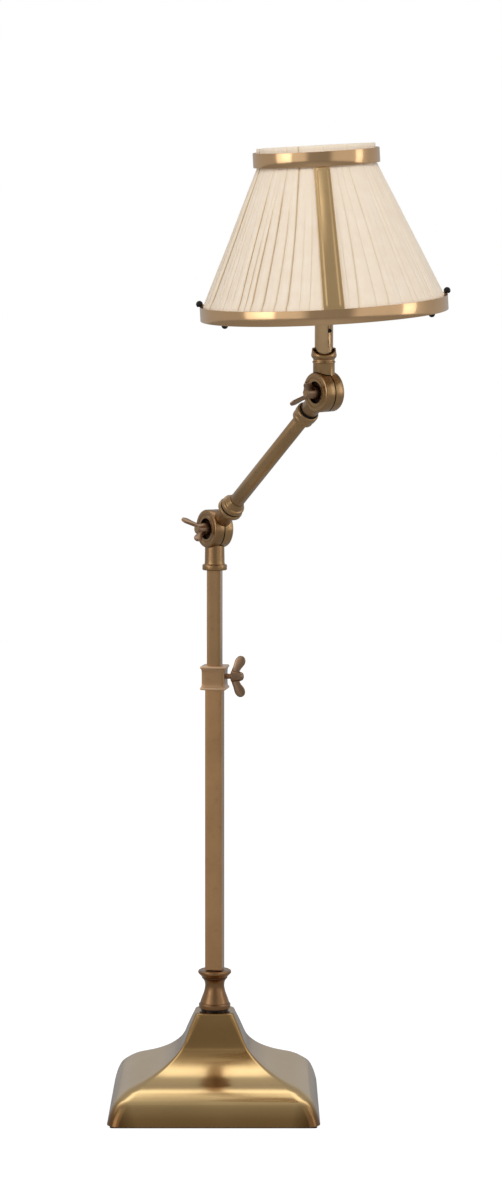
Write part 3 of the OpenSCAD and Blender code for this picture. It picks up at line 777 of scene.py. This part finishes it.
foot()
collar()
clamp()
square_post("lower_post_tube", "lower_post", "foot", 22, 1.6, 1.4, BRASS_POST)
square_post("upper_post_tube", "upper_post", "mast", 18, 1.5, 1.2, BRASS_MAST)
wing_part(
    "clamp_wing_screw_casting", "clamp_wing_screw", "clamp_screw_turn", "clamp_screw",
    rounded([
        (0, 0), (3.4, 0, 0.3), (3.4, 12.3), (6.8, 12.3, 0.6), (7.4, 13.6, 1), (6.5, 20, 2),
        (6.1, 24.5, 2), (4.8, 27.6, 2), (2.4, 28.8), (0, 29)]),
    [(3, 17.4, 5.4), (7.5, 18.4, 5.2), (12, 20.4, 5.5), (16.5, 22.7, 6.6), (19.6, 24.4, 6.8),
     (22.8, 26.1, 5.7), (24.9, 27.3, 3.6), (25.8, 27.8, 1.2)], 2.3)
for side, joint in (("lower", "arm_tilt"), ("upper", "head_tilt")):
    wing_part(
        side + "_wing_nut_casting", side + "_wing_nut", joint, side + "_nut",
        rounded([
            (4.1, 0), (9.3, 0, 0.4), (9.3, 2, 0.5), (8.5, 2.4, 0.6), (7.8, 9, 3), (6.4, 18.4, 2),
            (5.6, 20), (4.1, 20)]),
        [(5.4, 12.5, 4.4), (8.5, 16.4, 4.0), (12, 20.6, 4.3), (15.6, 24.4, 5.1), (18, 27, 5.4),
         (20.2, 29.4, 4.3), (21.5, 30.8, 2.6), (22, 31.3, 0.9)], 2.2)

# ---------------------------------------------------------------- CAD nodes that keep their shape

for names, material in (
    (("felt_pad",), FELT),
    (("base_weight",), IRON),
    (("base_plate", "plate_screws", "base_rod", "base_washer", "base_nut", "post_plug", "bulb_cap",
      "shade_wires"), STEEL),
    (("cord_gland", "neck_seal"), RUBBER),
    (("arm_lower_washer", "arm_upper_washer", "lower_friction_disc", "upper_friction_disc",
      "lamp_holder", "holder_ring", "switch_knob", "mast_guide"), PLASTIC),
    (("carrier_nuts", "shade_clips", "set_screw"), BLACK),
    (("bulb_glass",), GLASS),
    (("arm_lower_socket", "arm_upper_sleeve", "head_neck", "lower_bolt", "upper_bolt",
      "arm_ferrule", "arm_tube", "holder_cup", "shade_carrier", "lamp_contact"), BRASS_CAST),
    (("mast_cap",), BRASS_TURNED),
    (("shade_tube",), BRASS_TUBE),
    (("lower_knuckle",), BRASS_LOWER_JAW),
    (("arm_upper_socket",), BRASS_UPPER_JAW),
    (("bottom_band", "top_band"), BRASS_BAND),
):
    for name in names:
        soft_edges(nodes[name])
        mesh = nodes[name].data
        mesh.materials.clear()
        mesh.materials.append(material)

# ---------------------------------------------------------------- straps


def strap(name, node):
    """A pressed strap: a raised crowned middle on a flat strip whose ends go inside the bands."""
    low_half, high_half = 13, 9.6
    inset, tail, head_tail = 0.1, 1.5, 15
    way = middle(node) - band_low
    way = SHADE.to_3x3().inverted() @ (way - shade_z * way.dot(shade_z))
    turn = Matrix.Rotation(math.atan2(way.y, way.x), 4, "Z")
    low_r, high_r = LOW_BAND_R - BAND_THICK, HIGH_BAND_R - BAND_THICK
    low_z, high_z = BAND_TALL / 2, RISE / MM - BAND_TALL / 2
    tilt = math.atan((low_r - high_r) / (high_z - low_z))
    slant, level = Vector((math.cos(tilt), math.sin(tilt))), Vector((1, 0))
    foot_end, head_end = Vector((low_r, low_z)), Vector((high_r, high_z))
    along = head_end - foot_end
    # a point of the path, the way out of the strap there, half its width, how far its middle rises
    path = [(Vector((low_r - inset, tail)), level, low_half, 0),
            (foot_end - Vector((inset, 0.4)), level, low_half, 0)]
    path += [(foot_end + along * share, slant, half, stand) for share, half, stand in (
        (0.004, 12.9, 0), (0.02, 12.8, 0.2), (0.035, 12.8, 1), (0.5, 11.2, 1), (0.965, 9.7, 1),
        (0.98, 9.7, 0.2), (0.996, high_half, 0))]
    path += [(head_end + Vector((-inset, 0.4)), level, high_half, 0),
             (Vector((high_r - inset, high_z + head_tail)), level, high_half, 0)]
    # the face's section from edge to middle: share of half the width, and height in mm
    across = [(-1, -0.35), (-0.965, -0.05), (-0.9, 0), (-0.74, 0.02), (-0.68, 0.12), (-0.6, 0.78),
              (-0.5, 0.96), (-0.25, 1.18), (0, 1.25)]
    across += [(-x, out) for x, out in reversed(across[:-1])]
    loops = []
    for point, out_way, half, stand in path:
        section = [(x * half, out * (stand if out > 0 else 1)) for x, out in across]
        section += [(half * share, -BAND_THICK) for share in (1, 0.5, 0, -0.5, -1)]
        loops.append([
            (point.x + out_way.x * out, side, point.y + out_way.y * out) for side, out in section])
    piece = loft(name, loops, SHADE @ turn, sharp=50)
    return settle(piece, "shade", "band_brass", BRASS_STRAP, node)


for side in ("front", "left", "right"):
    strap("strap_" + side + "_strip", "strap_" + side)

# ---------------------------------------------------------------- fabric shade


def smooth_step(x):
    x = np.clip(x, 0, 1)
    return x * x * (3 - 2 * x)


def fabric():
    """The gathered cloth: soft pleats with uneven creases, a lip above the top band, a flat hem."""
    around, up, lip_rows, hem_rows = 1440, 44, 6, 3
    count = 68
    room = 0.7
    hem_z = 0.6
    cloth_thick = 0.4
    climb, drop_off, crease = 0.36, 0.13, 0.16
    low_z, high_z = BAND_TALL / 2, RISE / MM - BAND_TALL / 2
    tilt = math.atan((LOW_BAND_R - HIGH_BAND_R) / (high_z - low_z))
    low_r = LOW_BAND_R - BAND_THICK - BAND_THICK / math.cos(tilt) - room
    high_r = HIGH_BAND_R - BAND_THICK - BAND_THICK / math.cos(tilt) - room
    lip_z = RISE / MM + BAND_TALL / 2
    pitch = 2 * math.pi / count
    gaps = np.array([0.62 + 0.76 * random.random() for _ in range(count)])
    edges = np.cumsum(gaps) / gaps.sum() * 2 * math.pi + random.random()
    slant = np.array([random.uniform(-0.45, 0.45) for _ in range(count)]) * pitch
    bow = np.array([random.uniform(-0.22, 0.22) for _ in range(count)]) * pitch
    # some pleats are deep and the rest shallow, in mm
    deep = np.array([
        random.uniform(2.2, 4.0) if random.random() < 0.46 else random.uniform(0.5, 1.4)
        for _ in range(count)])
    start = np.array([random.choice([-0.3, -0.1, 0.0, 0.12, 0.3]) for _ in range(count)])
    theta = np.linspace(0, 2 * np.pi, around, endpoint=False)

    def pleats(t):
        """Each column at t down the slope: its push in mm (0 or less), its sideways lean in
        radians, and how deep in a crease it is, which lowers the lip and is painted as shade."""
        lines = edges + slant * (t - 0.5) + bow * math.sin(math.pi * min(1, max(0, t)))
        order = np.argsort(lines % (2 * np.pi))
        lines, depth, begins = (lines % (2 * np.pi))[order], deep[order], start[order]
        depth = depth * (0.22 + 0.78 * smooth_step((t - begins) / 0.5))
        k = np.searchsorted(lines, theta, side="right") - 1
        k1 = (k + 1) % count
        width = (lines[k1] - lines[k]) % (2 * np.pi)
        u = ((theta - lines[k]) % (2 * np.pi)) / width
        # the cloth climbs slowly out of a crease and drops quickly into the next one
        push = -depth[k] * np.exp(-u / climb) * (1 - u) ** 1.5
        push = push - depth[k1] * np.exp((u - 1) / drop_off)
        lean = 0.15 * width * smooth_step(u / 0.85) * smooth_step((1 - u) / 0.12)
        lean = lean * smooth_step(t * 2)
        crease_and_shade = np.exp(-(((1 - u) / crease) ** 2)) * depth[k1]
        crease_and_shade = crease_and_shade + 0.35 * np.exp(-((u / 0.1) ** 2)) * depth[k]
        return push, lean, np.clip(crease_and_shade / 2.6, 0, 1)

    verts, uvs, crease_shades = [], [], []

    def ring(base, z, t, share=1.0, drop=0.0):
        """A row of points: base radius and height in mm, and the share of the pleats it shows."""
        push, lean, crease_and_shade = pleats(t)
        z = z + np.zeros(around)
        for i in range(around):
            a = theta[i] + lean[i] * share
            x, y = math.cos(a), math.sin(a)
            slow = noise.noise(Vector((x * 7, y * 7, t * 1.6))) * 0.7 - 0.5
            slow += noise.noise(Vector((x * 38, y * 38, t * 1.2))) * 0.5 - 0.2
            r = base + push[i] * share + slow
            verts.append((r * math.cos(a) * MM, r * math.sin(a) * MM, (z[i] - drop * crease_and_shade[i]) * MM))
            uvs.append((theta[i] * LOW_BAND_R * MM, float(z[i]) * MM))
            crease_shades.append(float(crease_and_shade[i]) * min(1, share + 0.2))

    # the lip stands higher on the side that the front strap faces
    lip = 5.2 + 2.6 * np.cos(theta)
    for k in range(lip_rows):
        t = k / lip_rows
        ring(high_r - 0.3, (lip_z + lip) * (1 - t) + high_z * t, 0, 0.75, 0.5 * (1 - t))
    for j in range(up + 1):
        t = j / up
        share = 1 - 0.5 * smooth_step((t - 0.93) / 0.07)
        ring(high_r + (low_r - high_r) * t, high_z + (low_z - high_z) * t, t, share)
    for k in range(1, hem_rows + 1):
        ring(low_r, low_z + (hem_z - low_z) * k / hem_rows, 1, 0.45)
    rows = len(verts) // around
    faces = []
    for k in range(rows - 1):
        for i in range(around):
            j = (i + 1) % around
            low, high = k * around, (k + 1) * around
            faces.append((low + i, low + j, high + j, high + i))
    mesh = bpy.data.meshes.new("pleated_fabric")
    mesh.from_pydata(verts, [], faces)
    layer = mesh.uv_layers.new(name="cloth")
    index = np.empty(len(mesh.loops), int)
    mesh.loops.foreach_get("vertex_index", index)
    layer.data.foreach_set("uv", np.array(uvs)[index].ravel())
    mesh.attributes.new("crease_and_shade", "FLOAT", "POINT").data.foreach_set("value", crease_shades)
    mesh.transform(SHADE)
    mesh.shade_smooth()
    obj = add_object("pleated_fabric", mesh)
    thick = obj.modifiers.new("thickness", "SOLIDIFY")
    thick.thickness = cloth_thick * MM
    thick.offset = 1
    apply_modifiers(obj)
    settle(obj, "shade", "fabric", CLOTH, "fabric_shade")


fabric()

# ---------------------------------------------------------------- studio


def stage_floor():
    """A pale round floor, plain white to the camera."""
    radius, rings, around = 6.0, 10, 96
    glow, glow_seen = 0.08, 0.86
    verts, faces = [(0, 0, 0)], []
    for k in range(1, rings + 1):
        for i in range(around):
            a = 2 * math.pi * i / around
            r = radius * k / rings
            verts.append((r * math.cos(a), r * math.sin(a), 0))
    for i in range(around):
        j = (i + 1) % around
        faces.append((0, 1 + i, 1 + j))
        for k in range(rings - 1):
            low, high = 1 + k * around, 1 + (k + 1) * around
            faces.append((low + i, high + i, high + j, low + j))
    mesh = bpy.data.meshes.new("floor")
    mesh.from_pydata(verts, [], faces)
    obj = add_object("floor", mesh)
    n = Nodes("floor")
    paper = n.noise(n.place, 3, 3, 0.5)
    seen = n.add("ShaderNodeLightPath").outputs["Is Camera Ray"]
    mesh.materials.append(n.set(
        Base_Color=n.ramp(paper, (0.3, (0.3, 0.3, 0.3, 1)), (0.7, (0.31, 0.31, 0.31, 1))),
        Roughness=0.9,
        Specular_IOR_Level=0.1,
        Emission_Color=WHITE,
        Emission_Strength=n.span(seen, 0, 1, glow, glow_seen),
    ))


def softbox(name, azimuth, distance, height, size, radiance, aim, spread=180, mirrored=True):
    """A soft panel that looks at a point aim metres up the middle. Azimuth 0 is over the camera,
    and positive is to the right. A panel that isn't mirrored gives light but no reflection."""
    a = math.radians(azimuth)
    at = Vector((distance * math.sin(a), -distance * math.cos(a), height))
    light = bpy.data.lights.new(name, "AREA")
    light.shape = "RECTANGLE"
    light.size, light.size_y = size
    light.energy = radiance * math.pi * size[0] * size[1]
    if spread < 180:
        # a grid on the panel gathers its light, so the same brightness needs less of it
        half = math.radians(spread / 2)
        light.energy *= 1 - half / math.tan(half)
    light.spread = math.radians(spread)
    obj = add_object(name, light)
    obj.location = at
    obj.rotation_euler = (Vector((0, 0, aim)) - at).to_track_quat("-Z", "Y").to_euler()
    obj.visible_glossy = mirrored


# brightness round the room by azimuth, where 0 is over the camera and right is positive
ROUND_THE_ROOM = (
    (-170, 0.42), (-84, 0.46), (-40, 0.84), (-24, 0.78), (-14, 0.32), (22, 0.3), (30, 0.7),
    (84, 0.72), (110, 0.46), (170, 0.42))
# brightness overhead, from the front horizon at 0 to the back one at 180
OVERHEAD = (
    (0, 0.31), (35, 0.31), (60, 0.36), (80, 0.5), (94, 0.75), (103, 1.35), (110, 1.6),
    (115, 1.2), (120, 0.45), (140, 0.3), (180, 0.42))


def studio_world():
    """The room that the metal mirrors. The camera itself sees plain white."""
    world = bpy.data.worlds.new("studio")
    world.use_nodes = True
    n = Nodes.on(world.node_tree)
    split = n.add("ShaderNodeSeparateXYZ")
    n.link(n.direction, split.inputs[0])
    ahead = n.math("MULTIPLY", split.outputs["Y"], -1.0)
    turn = n.math("ARCTAN2", split.outputs["X"], ahead)
    tip = n.math("ARCTAN2", split.outputs["Z"], ahead)
    around = n.ramp(
        n.span(turn, -math.pi, math.pi, 0, 1),
        *[(0.5 + degrees / 360, (v, v, v, 1)) for degrees, v in ROUND_THE_ROOM])
    overhead = n.ramp(
        n.span(tip, 0, math.pi, 0, 1),
        *[(degrees / 180, (v, v, v, 1)) for degrees, v in OVERHEAD])
    room = world.node_tree.nodes["Background"]
    steep = n.span(split.outputs["Z"], 0.35, 0.8, 0, 1)
    n.link(n.mix(steep, around, overhead), room.inputs["Color"])
    backdrop = n.add("ShaderNodeBackground", Color=WHITE, Strength=1.0)
    choose = n.add("ShaderNodeMixShader")
    n.link(n.add("ShaderNodeLightPath").outputs["Is Camera Ray"], choose.inputs[0])
    n.link(room.outputs[0], choose.inputs[1])
    n.link(backdrop.outputs[0], choose.inputs[2])
    n.link(choose.outputs[0], world.node_tree.nodes["World Output"].inputs["Surface"])
    scene.world = world


stage_floor()
softbox("left_panel", -57, 2.7, 1.45, (1.5, 1.7), 1.7, 1.2, spread=80)
softbox("right_panel", 78, 2.7, 1.45, (0.7, 1.7), 1.4, 1.2, spread=80)
softbox("strap_panel", -8, 1.0, 2.15, (0.6, 0.6), 0.95, 1.2, spread=44)
softbox("fill", 6, 3.6, 2.6, (2.2, 1.6), 4.75, 1.0, mirrored=False)
studio_world()
scene.view_settings.view_transform = "Standard"
